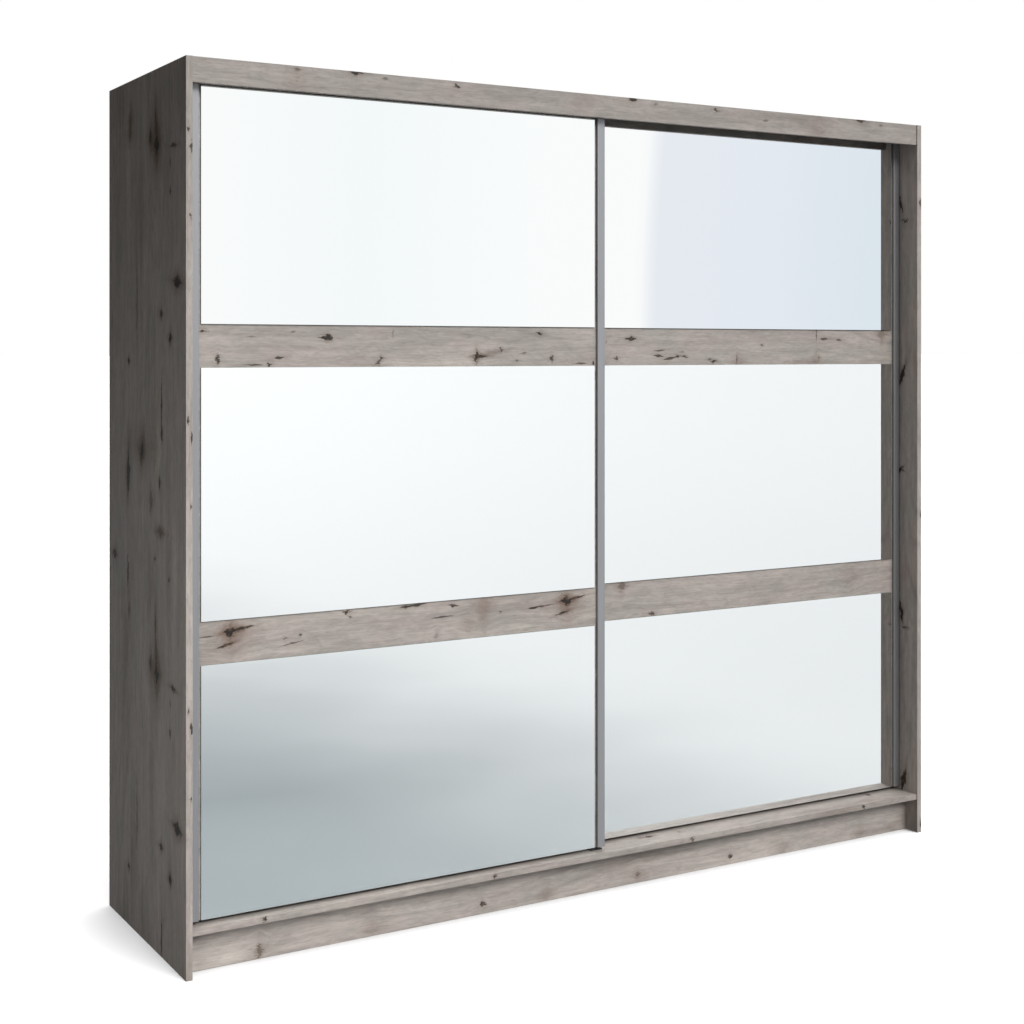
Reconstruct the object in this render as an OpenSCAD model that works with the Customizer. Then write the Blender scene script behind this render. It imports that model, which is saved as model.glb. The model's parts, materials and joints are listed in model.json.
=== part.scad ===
// Sliding door wardrobe: a board carcass with two mirrored doors that hang from a double top track.
// Millimetres. The origin is on the floor at the middle of the footprint, +Z is up,
// the doors face -Y and +X is to the right.

/* [Carcass] */
// Overall width
wardrobe_w = 2330; // [2200:10:2500]
// Overall height
wardrobe_h = 2150; // [2100:10:2250]
// Overall depth
wardrobe_d = 600; // [580:10:680]
// Thickness of the carcass boards
board_t = 16; // [16:1:19]
// Height of the plinth, up to the underside of the bottom panel
plinth_h = 100; // [70:5:120]
// Distance of the plinth behind the front edges of the sides
plinth_inset = 47; // [30:1:60]
// Height of the fascia across the top
fascia_h = 60; // [56:1:80]
// Distance of the fascia and the bottom panel behind the front edges of the sides
front_inset = 3; // [2:1:5]
// Thickness of the back sheets
back_t = 3; // [3:0.5:4]
// Distance of the back sheets in front of the rear edges of the sides
back_inset = 10; // [8:1:15]

/* [Doors] */
// Overlap of the two closed doors
door_overlap = 45; // [45:1:60]
// Gap under the doors
door_floor_gap = 9; // [8:0.5:10]
// Gap between a closed door and the side
door_side_gap = 1; // [1:0.5:2]
// Distance of the front door's face behind the front edges of the sides
door_inset = 25; // [23:1:28]
// Distance from the front door's face to the rear door's face
door_pitch = 49; // [48:1:55]
// Width of a handle profile
profile_w = 23.5; // [22:0.5:25]
// Depth of a handle profile
profile_d = 30; // [29:1:32]
// Wall of a handle profile
profile_wall = 1.8; // [1.5:0.1:2]
// Distance of a door board behind its profiles' faces
leaf_inset = 8; // [8:0.5:9]
// Thickness of a door board
leaf_t = 10; // [10:1:11]
// Thickness of the mirrors
mirror_t = 4; // [3:0.5:5]
// Height of the lower and the middle mirror
mirror_h = 598; // [560:1:600]
// Height of the strip of board between two mirrors
strip_h = 103; // [60:1:120]
// Gap between a mirror and the handle profiles
mirror_gap = 6.5; // [4:0.5:10]

/* [Inside] */
// Height of the top of the hat shelves above the floor
hat_shelf_z = 1810; // [1700:5:1850]
// Drop from a hat shelf's underside to the middle of the hanging rail
rail_drop = 52; // [40:1:70]
// Width of the oval hanging rail
rail_w = 15; // [12:1:18]
// Height of the oval hanging rail
rail_h = 30; // [25:1:34]

/* [Running gear] */
// Radius of a door wheel
wheel_r = 8.5; // [8:0.1:9]
// Width of a door wheel
wheel_w = 5.5; // [5:0.1:5.8]
// Inner width of one channel of the top track
channel_w = 26; // [26:0.5:27]
// Wall of the top track
track_wall = 2; // [1.8:0.1:2.2]
// Height of the top track
track_h = 26; // [26:0.5:28]
// Distance from a door's face back to the line that it hangs from
hang_depth = 26; // [25.5:0.5:28]
// Distance from a door's edge to the middle of its nearer carriage
hanger_x = 46; // [46:1:60]

/* [Hidden] */
$fn = 48;
half_w = wardrobe_w / 2;
inner_x = half_w - board_t;
front_y = -wardrobe_d / 2;
rear_y = wardrobe_d / 2;
floor_z = plinth_h + board_t;
ceiling_z = wardrobe_h - board_t;
back_y = rear_y - back_inset - back_t;
back_groove = 6.5;
joint_strip_flange = 1;
joint_strip_web = 1;
joint_strip_w = 14;
partition_front = front_y + 2 * door_pitch + door_inset;
hat_shelf_t = board_t;
rail_z = hat_shelf_z - hat_shelf_t - rail_drop;
rail_y = (partition_front + back_y) / 2;
rail_wall = 1;
rail_end_gap = 5;
socket_rim = 3;
socket_base_t = 3;
socket_cup_l = 16;
socket_ear = 16;
shelf_gap = 1;
eps = 0.01;

// The doors, closed
door_w = inner_x - door_side_gap + door_overlap / 2;
door_z = floor_z + door_floor_gap;
track_z = ceiling_z - track_h;
door_top_gap = 4;
door_top = track_z - door_top_gap;
left_door_x = -(inner_x - door_side_gap);
right_door_x = -left_door_x - door_w;
left_face_y = front_y + door_inset;
right_face_y = left_face_y + door_pitch;
leaf_in_profile = 2;

// Wheels, carriages and hangers
lip_w = 8;
running_gap = 0.3;
wheel_z = track_z + track_wall + running_gap + wheel_r;
wheel_y = 9.5;
axle_r = 2;
axle_half = 12.5;
dish_r = 5;
axle_bore_r = axle_r + 0.05;
carriage_l = 56;
carriage_w = 12;
carriage_h = 15;
carriage_z = track_z + track_wall + 1.2;
axle_x = 18;
bolt_r = 3;
bolt_tip_z = carriage_z + carriage_h - 2;
bracket_t = 2;
bracket_half = 20;
bracket_h = 56;
bracket_z = door_top - 8;
leaf_screw_l = 7.5;
bolt_head_h = 4;
bolt_head_r = 5 / cos(30);
nut_h = 5;

// Door guide on the bottom panel
guide_fin_t = 4.2;
guide_groove_w = 5;
guide_groove_h = 12;
guide_fin_half = 14;
guide_base_t = 3;
guide_fin_top = door_z + guide_groove_h - 3;
guide_half = 18;
guide_edge = 5;
guide_screw_l = 10;

// Fasteners: the hole is a little wider than the shank that stands in it
hole_play = 0.05;
washer_play = 0.2;
end_play = 0.5;
screw_r = 2;
screw_head_r = 3.8;
screw_head_h = 2;
recess_d = 0.8;
cam_r = 7.4;
cam_depth = 12.5;
cam_reach = 24;
cam_slot_l = 9;
cam_slot_w = 1.2;
cam_bore_r = 3.5;
cam_bolt_r = screw_r + 0.5;
cam_bolt_neck_r = 2.4;
cam_bolt_head_r = 3.4;
cam_bolt_head_l = 7;
cam_bolt_thread = 11;
dowel_r = 4;
dowel_short = 11;
dowel_long = 19;
pin_r = 2.5;
pin_l = 7;
corner_y = [front_y + 150, 20, back_y - 60];
corner_dowel_y = [front_y + 60, back_y - 120];
socket_screw_z = 26;
socket_screw_l = 7;
partition_cam_y = [partition_front + 50, back_y - 60];
partition_dowel_y = [partition_front + 90, back_y - 120];
shelf_pin_y = [partition_front + 45, back_y - 50];
fascia_dowel_x = [-900, -450, 0, 450, 900];
track_screw_x = [-1050, -630, -210, 210, 630, 1050];
nail_x = [-1050, -750, -450, -150, 150, 450, 750, 1050];
nail_l = 18;
nail_r = 0.9;
nail_head_r = 3;
nail_head_h = 0.8;
block_x = [-1000, -400, 400, 1000];
block_leg = 24;
wall_fixing_x = 600;
wall_fixing_drop = 25;
wall_hole_r = 3.25;
bracket_leg = 40;
wall_bracket_half = 10;
top_screw_l = 11;

wood = [0.65, 0.62, 0.59];
hardboard = [0.72, 0.69, 0.65];
mirror_grey = [0.82, 0.86, 0.88];
aluminium = [0.61, 0.61, 0.63];
steel = [0.70, 0.70, 0.72];
chrome = [0.80, 0.80, 0.82];
black = [0.10, 0.10, 0.10];
white = [0.90, 0.90, 0.88];
beech = [0.80, 0.66, 0.48];

// ---- Shared shapes ----

// A box from its lowest to its highest corner
module span(from, to) {
    translate(from) cube(to - from);
}

// A round rod along X, Y or Z that starts at the origin
module rod_x(l, r) {
    rotate([0, 90, 0]) cylinder(h = l, r = r);
}

module rod_y(l, r) {
    rotate([-90, 0, 0]) cylinder(h = l, r = r);
}

// Both halves of the wardrobe: the children and their mirror image
module both_sides() {
    children();
    mirror([1, 0, 0]) children();
}

// A flat oval, as a hanging rail's section
module oval(w, h) {
    translate([0, (h - w) / 2]) circle(d = w);
    translate([0, -(h - w) / 2]) circle(d = w);
    square([w, h - w], center = true);
}

// A crossed recess cut into a head's plane at z = 0
module cross_recess(l, w) {
    cube([l, w, 2 * recess_d], center = true);
    cube([w, l, 2 * recess_d], center = true);
}

// A pan head screw whose head sits on the plane z = 0 and whose shank points to +Z
module screw(l) {
    difference() {
        translate([0, 0, -screw_head_h]) cylinder(h = screw_head_h, r = screw_head_r);
        translate([0, 0, -screw_head_h]) cross_recess(1.2 * screw_head_r, 1);
    }
    cylinder(h = l, r = screw_r);
}

// ---- Cams, bolts and dowels ----
// Each fitting's own frame has the joint's plane at x = 0 and +X into the board that holds the cam.

module at_cams() {
    for (z = [floor_z - board_t / 2, ceiling_z + board_t / 2], y = corner_y) {
        translate([-inner_x, y, z]) rotate([180, 0, 0]) children();
        translate([inner_x, y, z]) rotate([0, 180, 0]) children();
    }
    for (y = partition_cam_y) {
        translate([0, y, ceiling_z]) rotate([0, 90, 0]) children();
        translate([0, y, floor_z]) rotate([0, -90, 0]) children();
    }
}

module at_dowels() {
    for (z = [floor_z - board_t / 2, ceiling_z + board_t / 2], y = corner_dowel_y) {
        translate([-inner_x, y, z]) children();
        translate([inner_x, y, z]) rotate([0, 180, 0]) children();
    }
    for (y = partition_dowel_y) {
        translate([0, y, ceiling_z]) rotate([0, 90, 0]) children();
        translate([0, y, floor_z]) rotate([0, -90, 0]) children();
    }
    for (x = fascia_dowel_x) {
        translate([x, front_y + front_inset + board_t, ceiling_z + board_t / 2])
            rotate([0, 0, 90]) children();
    }
}

// The holes for every cam, bolt and dowel, cut from each board that they pass
module fitting_bores() {
    at_cams() {
        translate([cam_reach, 0, board_t / 2 - cam_depth])
            cylinder(h = cam_depth + 1, r = cam_r + 0.1);
        rod_x(cam_reach, cam_bore_r);
        translate([-cam_bolt_thread, 0, 0]) rod_x(cam_bolt_thread, cam_bolt_r + hole_play);
    }
    at_dowels() translate([-dowel_short, 0, 0])
        rod_x(dowel_short + dowel_long, dowel_r + hole_play);
}

module cam_lock() {
    difference() {
        translate([cam_reach, 0, board_t / 2 - cam_depth + 0.1])
            cylinder(h = cam_depth - 0.2, r = cam_r);
        translate([cam_reach - cam_r - 1, 0, 0]) rod_x(cam_r + 4, cam_bore_r + 0.2);
        translate([cam_reach, 0, board_t / 2 - 0.1]) cross_recess(cam_slot_l, cam_slot_w);
    }
}

module cam_bolt() {
    translate([end_play - cam_bolt_thread, 0, 0]) rod_x(cam_bolt_thread - end_play, cam_bolt_r);
    rod_x(1.5, cam_bolt_head_r);
    rod_x(cam_reach - 6, cam_bolt_neck_r);
    translate([cam_reach - 6, 0, 0]) rod_x(cam_bolt_head_l, cam_bolt_head_r);
}

module cam_locks() {
    color(steel) at_cams() cam_lock();
}

module cam_bolts() {
    color(steel) at_cams() cam_bolt();
}

module wooden_dowels() {
    color(beech) at_dowels() translate([end_play - dowel_short, 0, 0])
        rod_x(dowel_short + dowel_long - 2 * end_play, dowel_r);
}

// ---- Carcass ----

// Blind holes for shelf pins and for the hanging rails' sockets, in the face at x, cut towards +X
module inner_face_holes() {
    for (y = shelf_pin_y)
        translate([-1, y, hat_shelf_z - hat_shelf_t - pin_r])
            rod_x(pin_l + end_play + 1, pin_r + hole_play);
    for (side = [-1, 1])
        translate([-1, rail_y, rail_z + side * socket_screw_z])
            rod_x(socket_screw_l + end_play + 1, screw_r + hole_play);
}

module side_panel() {
    difference() {
        span([inner_x, front_y, 0], [half_w, rear_y, wardrobe_h]);
        span([inner_x - 1, back_y - 0.1, plinth_h - end_play],
             [inner_x + back_groove, back_y + back_t + 0.1, wardrobe_h + 1]);
        fitting_bores();
        translate([inner_x, 0, 0]) inner_face_holes();
    }
}

module side_panel_left() {
    color(wood) mirror([1, 0, 0]) side_panel();
}

module side_panel_right() {
    color(wood) side_panel();
}

module top_panel() {
    color(wood) difference() {
        span([-inner_x, front_y + front_inset + board_t, ceiling_z], [inner_x, back_y, wardrobe_h]);
        fitting_bores();
        track_screw_holes();
        wall_bracket_screw_holes();
    }
}

module bottom_panel() {
    color(wood) difference() {
        span([-inner_x, front_y + front_inset, plinth_h], [inner_x, back_y, floor_z]);
        fitting_bores();
        guide_screw_holes();
    }
}

module top_fascia() {
    color(wood) difference() {
        span([-inner_x, front_y + front_inset, wardrobe_h - fascia_h],
             [inner_x, front_y + front_inset + board_t, wardrobe_h]);
        fitting_bores();
    }
}

module plinth_front() {
    color(wood) span([-inner_x, front_y + plinth_inset, 0],
                     [inner_x, front_y + plinth_inset + board_t, plinth_h]);
}

module plinth_rear() {
    color(wood) span([-inner_x, back_y - 2 * board_t, 0], [inner_x, back_y - board_t, plinth_h]);
}

module plinth_brace() {
    color(wood) span([-board_t / 2, front_y + plinth_inset + board_t, 0],
                     [board_t / 2, back_y - 2 * board_t, plinth_h]);
}

module centre_partition() {
    color(wood) difference() {
        span([-board_t / 2, partition_front, floor_z], [board_t / 2, back_y - joint_strip_flange, ceiling_z]);
        fitting_bores();
        both_sides() translate([board_t / 2, 0, 0]) mirror([1, 0, 0]) inner_face_holes();
    }
}

// Half of the back: one sheet from the joint strip's web into the side's groove
module back_sheet() {
    difference() {
        span([joint_strip_web / 2, back_y, plinth_h],
             [inner_x + back_groove - end_play, back_y + back_t, wardrobe_h]);
        translate([wall_fixing_x, back_y - 1, ceiling_z - wall_fixing_drop])
            rod_y(back_t + 2, wall_hole_r + 1);
    }
}

module back_sheet_left() {
    color(hardboard) mirror([1, 0, 0]) back_sheet();
}

module back_sheet_right() {
    color(hardboard) back_sheet();
}

// H-shaped plastic strip that joins the two back sheets behind the partition
module back_joint_strip() {
    color(white) {
        span([-joint_strip_w / 2, back_y - joint_strip_flange, floor_z],
             [joint_strip_w / 2, back_y, ceiling_z]);
        span([-joint_strip_web / 2, back_y - eps, floor_z],
             [joint_strip_web / 2, back_y + back_t + eps, ceiling_z]);
        span([-joint_strip_w / 2, back_y + back_t, floor_z],
             [joint_strip_w / 2, back_y + back_t + joint_strip_flange, ceiling_z]);
    }
}

module back_nails() {
    color(steel) for (x = nail_x, z = [floor_z - board_t / 2, ceiling_z + board_t / 2])
        translate([x, back_y + back_t, z]) {
            rod_y(nail_head_h, nail_head_r);
            translate([0, -nail_l, 0]) rod_y(nail_l, nail_r);
        }
}

// Plastic corner blocks that hold the plinth boards to the underside of the bottom panel
module corner_block() {
    rotate([90, 0, 90]) linear_extrude(block_leg, center = true) difference() {
        polygon([[0, 0], [block_leg, 0], [block_leg, -3], [3, -block_leg], [0, -block_leg]]);
        translate([block_leg / 3, -block_leg / 3]) circle(r = 3.5);
    }
}

module corner_blocks() {
    color(black) for (x = block_x) {
        translate([x, front_y + plinth_inset + board_t, plinth_h]) corner_block();
        translate([x, back_y - 2 * board_t, plinth_h]) mirror([0, 1, 0]) corner_block();
    }
}

// ---- Shelves and hanging rails ----

module hat_shelf() {
    span([board_t / 2 + shelf_gap, partition_front, hat_shelf_z - hat_shelf_t],
         [inner_x - shelf_gap, back_y - joint_strip_flange, hat_shelf_z]);
}

module hat_shelf_left() {
    color(wood) mirror([1, 0, 0]) hat_shelf();
}

module hat_shelf_right() {
    color(wood) hat_shelf();
}

// Shelf pins: half in the board, half under the shelf
module shelf_pins() {
    color(steel) both_sides() for (y = shelf_pin_y, x = [board_t / 2, inner_x])
        translate([x - pin_l, y, hat_shelf_z - hat_shelf_t - pin_r]) rod_x(2 * pin_l, pin_r);
}

// The rail ends a little short of the boards, inside the sockets' cups
module hanging_rail() {
    translate([board_t / 2 + rail_end_gap, rail_y, rail_z]) rotate([90, 0, 90])
        linear_extrude(inner_x - board_t / 2 - 2 * rail_end_gap) difference() {
            oval(rail_w, rail_h);
            oval(rail_w - 2 * rail_wall, rail_h - 2 * rail_wall);
        }
}

module hanging_rail_left() {
    color(chrome) mirror([1, 0, 0]) hanging_rail();
}

module hanging_rail_right() {
    color(chrome) hanging_rail();
}

// A socket on the plane x = 0, open towards +X
module rail_socket() {
    rotate([90, 0, 90]) {
        linear_extrude(socket_base_t) difference() {
            oval(rail_w + 2 * socket_rim, rail_h + 2 * (socket_rim + socket_ear));
            translate([0, socket_screw_z]) circle(r = screw_r + washer_play);
            translate([0, -socket_screw_z]) circle(r = screw_r + washer_play);
        }
        linear_extrude(socket_cup_l) difference() {
            oval(rail_w + 2 * socket_rim, rail_h + 2 * socket_rim);
            oval(rail_w + 1, rail_h + 1);
        }
    }
}

module at_sockets() {
    both_sides() {
        translate([board_t / 2, rail_y, rail_z]) children();
        translate([inner_x, rail_y, rail_z]) mirror([1, 0, 0]) children();
    }
}

module rail_sockets() {
    color(chrome) at_sockets() rail_socket();
}

module rail_socket_screws() {
    color(steel) at_sockets() for (side = [-1, 1])
        translate([socket_base_t, 0, side * socket_screw_z]) rotate([0, -90, 0])
            screw(socket_base_t + socket_screw_l);
}

// ---- Wall brackets ----

module wall_bracket() {
    difference() {
        union() {
            span([-wall_bracket_half, back_y - bracket_t, ceiling_z - bracket_leg],
                 [wall_bracket_half, back_y, ceiling_z]);
            span([-wall_bracket_half, back_y - bracket_leg, ceiling_z - bracket_t],
                 [wall_bracket_half, back_y, ceiling_z]);
        }
        translate([0, back_y - bracket_t - 1, ceiling_z - wall_fixing_drop])
            rod_y(bracket_t + 2, wall_hole_r);
        translate([0, back_y - wall_fixing_drop, ceiling_z - bracket_t - 1])
            cylinder(h = bracket_t + 2, r = screw_r + washer_play);
    }
}

module wall_brackets() {
    color(steel) both_sides() translate([wall_fixing_x, 0, 0]) wall_bracket();
}

module wall_bracket_screws() {
    color(steel) both_sides()
        translate([wall_fixing_x, back_y - wall_fixing_drop, ceiling_z - bracket_t])
            screw(bracket_t + top_screw_l - end_play);
}

module wall_bracket_screw_holes() {
    both_sides() translate([wall_fixing_x, back_y - wall_fixing_drop, ceiling_z - 1])
        cylinder(h = top_screw_l + 1, r = screw_r + hole_play);
}

// ---- Top track and bottom guide ----

function channel_y(face_y) = face_y + hang_depth;

// One channel, open below between two lips; the section's axes are Y and Z
module channel_section() {
    outer = channel_w / 2 + track_wall;
    translate([-outer, track_h - track_wall]) square([2 * outer, track_wall]);
    for (side = [0, 1]) mirror([side, 0]) {
        translate([channel_w / 2, 0]) square([track_wall, track_h]);
        translate([channel_w / 2 - lip_w, 0]) square([lip_w + 1, track_wall]);
    }
}

module top_track() {
    color(aluminium) difference() {
        translate([-inner_x + 0.5, 0, track_z]) rotate([90, 0, 90]) linear_extrude(2 * inner_x - 1) {
            translate([channel_y(left_face_y), 0]) channel_section();
            translate([channel_y(right_face_y), 0]) channel_section();
            translate([channel_y(left_face_y), track_h - track_wall]) square([door_pitch, track_wall]);
        }
        at_track_screws() translate([0, 0, -track_wall - 1])
            cylinder(h = track_wall + 2, r = screw_r + washer_play);
    }
}

module at_track_screws() {
    for (x = track_screw_x, y = [channel_y(left_face_y), channel_y(right_face_y)])
        translate([x, y, ceiling_z]) children();
}

module track_screw_holes() {
    at_track_screws() translate([0, 0, -1]) cylinder(h = top_screw_l + 1, r = screw_r + hole_play);
}

module track_screws() {
    color(steel) at_track_screws() translate([0, 0, -track_wall])
        screw(track_wall + top_screw_l - end_play);
}

// Rubber stops that the carriages meet at the ends of both channels
module track_buffers() {
    stop_l = door_side_gap + hanger_x - carriage_l / 2 - 0.5;
    stop_half = channel_w / 2 - 2;
    foot_half = channel_w / 2 - lip_w - 0.5;
    color(black) both_sides() for (y = [channel_y(left_face_y), channel_y(right_face_y)]) {
        span([inner_x - stop_l, y - stop_half, track_z + track_wall],
             [inner_x - 0.5, y + stop_half, wheel_z + 6]);
        span([inner_x - stop_l + 3, y - foot_half, track_z - 1],
             [inner_x - 3, y + foot_half, track_z + track_wall + 1]);
    }
}

// A base on the bottom panel with one fin for each door's groove
module bottom_guide() {
    color(black) difference() {
        union() {
            span([-guide_half, leaf_mid(left_face_y) - guide_edge, floor_z],
                 [guide_half, leaf_mid(right_face_y) + guide_edge, floor_z + guide_base_t]);
            for (y = [leaf_mid(left_face_y), leaf_mid(right_face_y)])
                span([-guide_fin_half, y - guide_fin_t / 2, floor_z + 1],
                     [guide_fin_half, y + guide_fin_t / 2, guide_fin_top]);
        }
        at_guide_screws() translate([0, 0, -1])
            cylinder(h = guide_base_t + 2, r = screw_r + washer_play);
    }
}

function leaf_mid(face_y) = face_y + leaf_inset + leaf_t / 2;

module at_guide_screws() {
    for (x = [-10, 10])
        translate([x, (leaf_mid(left_face_y) + leaf_mid(right_face_y)) / 2, floor_z]) children();
}

module guide_screw_holes() {
    at_guide_screws() translate([0, 0, -guide_screw_l - end_play])
        cylinder(h = guide_screw_l + 1, r = screw_r + hole_play);
}

module guide_screws() {
    color(steel) at_guide_screws() translate([0, 0, guide_base_t]) mirror([0, 0, 1])
        screw(guide_base_t + guide_screw_l);
}

// ---- Door parts, each for the door whose left edge is at x and whose face is at y ----

module at_hangers(x, y) {
    for (dx = [hanger_x, door_w - hanger_x]) translate([x + dx, y, 0]) children();
}

module at_bracket_screws(x, y) {
    at_hangers(x, y) for (dx = [-12, 12], dz = [-16, -40])
        translate([dx, leaf_inset + leaf_t, bracket_z + dz]) children();
}

module door_board(x, y) {
    color(wood) difference() {
        span([x + leaf_in_profile, y + leaf_inset, door_z],
             [x + door_w - leaf_in_profile, y + leaf_inset + leaf_t, door_top]);
        span([x - 1, leaf_mid(y) - guide_groove_w / 2, door_z - 1],
             [x + door_w + 1, leaf_mid(y) + guide_groove_w / 2, door_z + guide_groove_h]);
        at_bracket_screws(x, y) translate([0, -leaf_screw_l - 0.2, 0])
            rod_y(leaf_screw_l + 1, screw_r + hole_play);
    }
}

module door_mirror(x, y, z, h) {
    inset = profile_w + mirror_gap;
    color(mirror_grey) span([x + inset, y + leaf_inset - mirror_t, z],
                            [x + door_w - inset, y + leaf_inset, z + h]);
}

module mirror_bottom(x, y) {
    door_mirror(x, y, door_z, mirror_h);
}

module mirror_middle(x, y) {
    door_mirror(x, y, door_z + mirror_h + strip_h, mirror_h);
}

module mirror_top(x, y) {
    z = door_z + 2 * (mirror_h + strip_h);
    door_mirror(x, y, z, door_top - z);
}

// The profile's section from the door's edge at 0 inwards, with its face at y = 0: a rounded hollow
// front, a pocket that holds the board and a leg that stands back from the pocket.
module profile_section() {
    edge_r = 1.5;
    pocket_front = leaf_inset - 0.1;
    pocket_rear = leaf_inset + leaf_t + 0.1;
    difference() {
        union() {
            translate([edge_r, 0]) square([profile_w - 2 * edge_r, pocket_front]);
            translate([0, edge_r]) square([profile_w, pocket_front - edge_r]);
            for (u = [edge_r, profile_w - edge_r]) translate([u, edge_r]) circle(r = edge_r);
        }
        translate([profile_wall, profile_wall])
            square([profile_w - 2 * profile_wall, pocket_front - 2 * profile_wall]);
    }
    translate([0, pocket_front - 1]) square([profile_wall, profile_d - pocket_front + 1]);
    translate([0, pocket_rear]) square([profile_w, profile_wall]);
    translate([0, profile_d - profile_wall]) square([profile_w / 2, profile_wall]);
}

module door_profile(x, y, turned) {
    color(aluminium) translate([x, y, door_z]) linear_extrude(door_top - door_z)
        mirror([turned, 0]) profile_section();
}

// Steel angle on the back of the board, with a flange that the hanging bolt passes
module hanger_brackets(x, y) {
    color(steel) difference() {
        at_hangers(x, y) {
            span([-bracket_half, leaf_inset + leaf_t, bracket_z - bracket_h],
                 [bracket_half, leaf_inset + leaf_t + bracket_t, bracket_z]);
            span([-bracket_half, leaf_inset + leaf_t, bracket_z - bracket_t],
                 [bracket_half, hang_depth + 6.5, bracket_z]);
        }
        at_hangers(x, y) translate([0, hang_depth, bracket_z - bracket_t - 1])
            cylinder(h = bracket_t + 2, r = bolt_r + washer_play);
        at_bracket_screws(x, y) translate([0, -1, 0]) rod_y(bracket_t + 2, screw_r + washer_play);
    }
}

module hanger_screws(x, y) {
    color(steel) at_bracket_screws(x, y) translate([0, bracket_t, 0]) rotate([90, 0, 0])
        screw(bracket_t + leaf_screw_l);
}

// Hexagonal bolt from under the flange up into the carriage, with its lock nut on the flange
module hanger_bolts(x, y) {
    color(steel) at_hangers(x, y) translate([0, hang_depth, 0]) {
        translate([0, 0, bracket_z - bracket_t - bolt_head_h])
            cylinder(h = bolt_head_h, r = bolt_head_r, $fn = 6);
        translate([0, 0, bracket_z - bracket_t - eps])
            cylinder(h = bolt_tip_z - bracket_z + bracket_t, r = bolt_r);
        translate([0, 0, bracket_z]) difference() {
            cylinder(h = nut_h, r = bolt_head_r, $fn = 6);
            translate([0, 0, -1]) cylinder(h = nut_h + 2, r = bolt_r);
        }
    }
}

module carriages(x, y) {
    color(white) at_hangers(x, y) translate([0, hang_depth, carriage_z]) difference() {
        union() {
            translate([0, 0, carriage_h / 2]) cube([carriage_l - 6, carriage_w, carriage_h], center = true);
            translate([0, 0, carriage_h / 2]) cube([carriage_l, carriage_w, carriage_h - 6], center = true);
        }
        for (dx = [-axle_x, axle_x])
            translate([dx, -carriage_w, wheel_z - carriage_z]) rod_y(2 * carriage_w, axle_bore_r);
        translate([0, 0, -1]) cylinder(h = carriage_h, r = bolt_r + hole_play);
    }
}

// Half of a wheel's section, with a broken edge on the tread and a shallow dish on the outside
module wheel_section() {
    low = wheel_y - wheel_w / 2;
    high = wheel_y + wheel_w / 2;
    edge = 0.6;
    dish = 0.8;
    polygon([
        [axle_r, low], [wheel_r - edge, low], [wheel_r, low + edge], [wheel_r, high - edge],
        [wheel_r - edge, high], [dish_r, high], [dish_r - edge, high - dish], [axle_r, high - dish]
    ]);
}

// Two wheels pressed on one axle; number runs from 1 to 4 along the door
module wheelset(x, y, number) {
    hanger = number < 3 ? hanger_x : door_w - hanger_x;
    side = number % 2 == 1 ? -1 : 1;
    translate([x + hanger + side * axle_x, y + hang_depth, wheel_z]) {
        color(steel) translate([0, -axle_half, 0]) rod_y(2 * axle_half, axle_r);
        color(white) for (turn = [0, 180]) rotate([0, 0, turn]) rotate([-90, 0, 0])
            rotate_extrude() wheel_section();
    }
}

side_panel_left();
side_panel_right();
top_panel();
bottom_panel();
top_fascia();
plinth_front();
plinth_rear();
plinth_brace();
centre_partition();
back_sheet_left();
back_sheet_right();
back_joint_strip();
hat_shelf_left();
hat_shelf_right();
shelf_pins();
hanging_rail_left();
hanging_rail_right();
rail_sockets();
rail_socket_screws();
cam_locks();
cam_bolts();
wooden_dowels();
corner_blocks();
back_nails();
wall_brackets();
wall_bracket_screws();
top_track();
track_screws();
track_buffers();
bottom_guide();
guide_screws();

door_board(left_door_x, left_face_y);  // left_door_board
mirror_top(left_door_x, left_face_y);  // left_door_mirror_top
mirror_middle(left_door_x, left_face_y);  // left_door_mirror_middle
mirror_bottom(left_door_x, left_face_y);  // left_door_mirror_bottom
door_profile(left_door_x, left_face_y, 0);  // left_door_profile_outer
door_profile(left_door_x + door_w, left_face_y, 1);  // left_door_profile_inner
hanger_brackets(left_door_x, left_face_y);  // left_door_hanger_brackets
hanger_screws(left_door_x, left_face_y);  // left_door_hanger_screws
hanger_bolts(left_door_x, left_face_y);  // left_door_hanger_bolts
carriages(left_door_x, left_face_y);  // left_door_carriages
door_board(right_door_x, right_face_y);  // right_door_board
mirror_top(right_door_x, right_face_y);  // right_door_mirror_top
mirror_middle(right_door_x, right_face_y);  // right_door_mirror_middle
mirror_bottom(right_door_x, right_face_y);  // right_door_mirror_bottom
door_profile(right_door_x + door_w, right_face_y, 1);  // right_door_profile_outer
door_profile(right_door_x, right_face_y, 0);  // right_door_profile_inner
hanger_brackets(right_door_x, right_face_y);  // right_door_hanger_brackets
hanger_screws(right_door_x, right_face_y);  // right_door_hanger_screws
hanger_bolts(right_door_x, right_face_y);  // right_door_hanger_bolts
carriages(right_door_x, right_face_y);  // right_door_carriages
wheelset(left_door_x, left_face_y, 1);  // left_door_wheels_1
wheelset(left_door_x, left_face_y, 2);  // left_door_wheels_2
wheelset(left_door_x, left_face_y, 3);  // left_door_wheels_3
wheelset(left_door_x, left_face_y, 4);  // left_door_wheels_4
wheelset(right_door_x, right_face_y, 1);  // right_door_wheels_1
wheelset(right_door_x, right_face_y, 2);  // right_door_wheels_2
wheelset(right_door_x, right_face_y, 3);  // right_door_wheels_3
wheelset(right_door_x, right_face_y, 4);  // right_door_wheels_4
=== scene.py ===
"""Looks of the sliding door wardrobe: materials, edges, studio light and camera around the CAD frame."""
import json
import math

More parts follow.
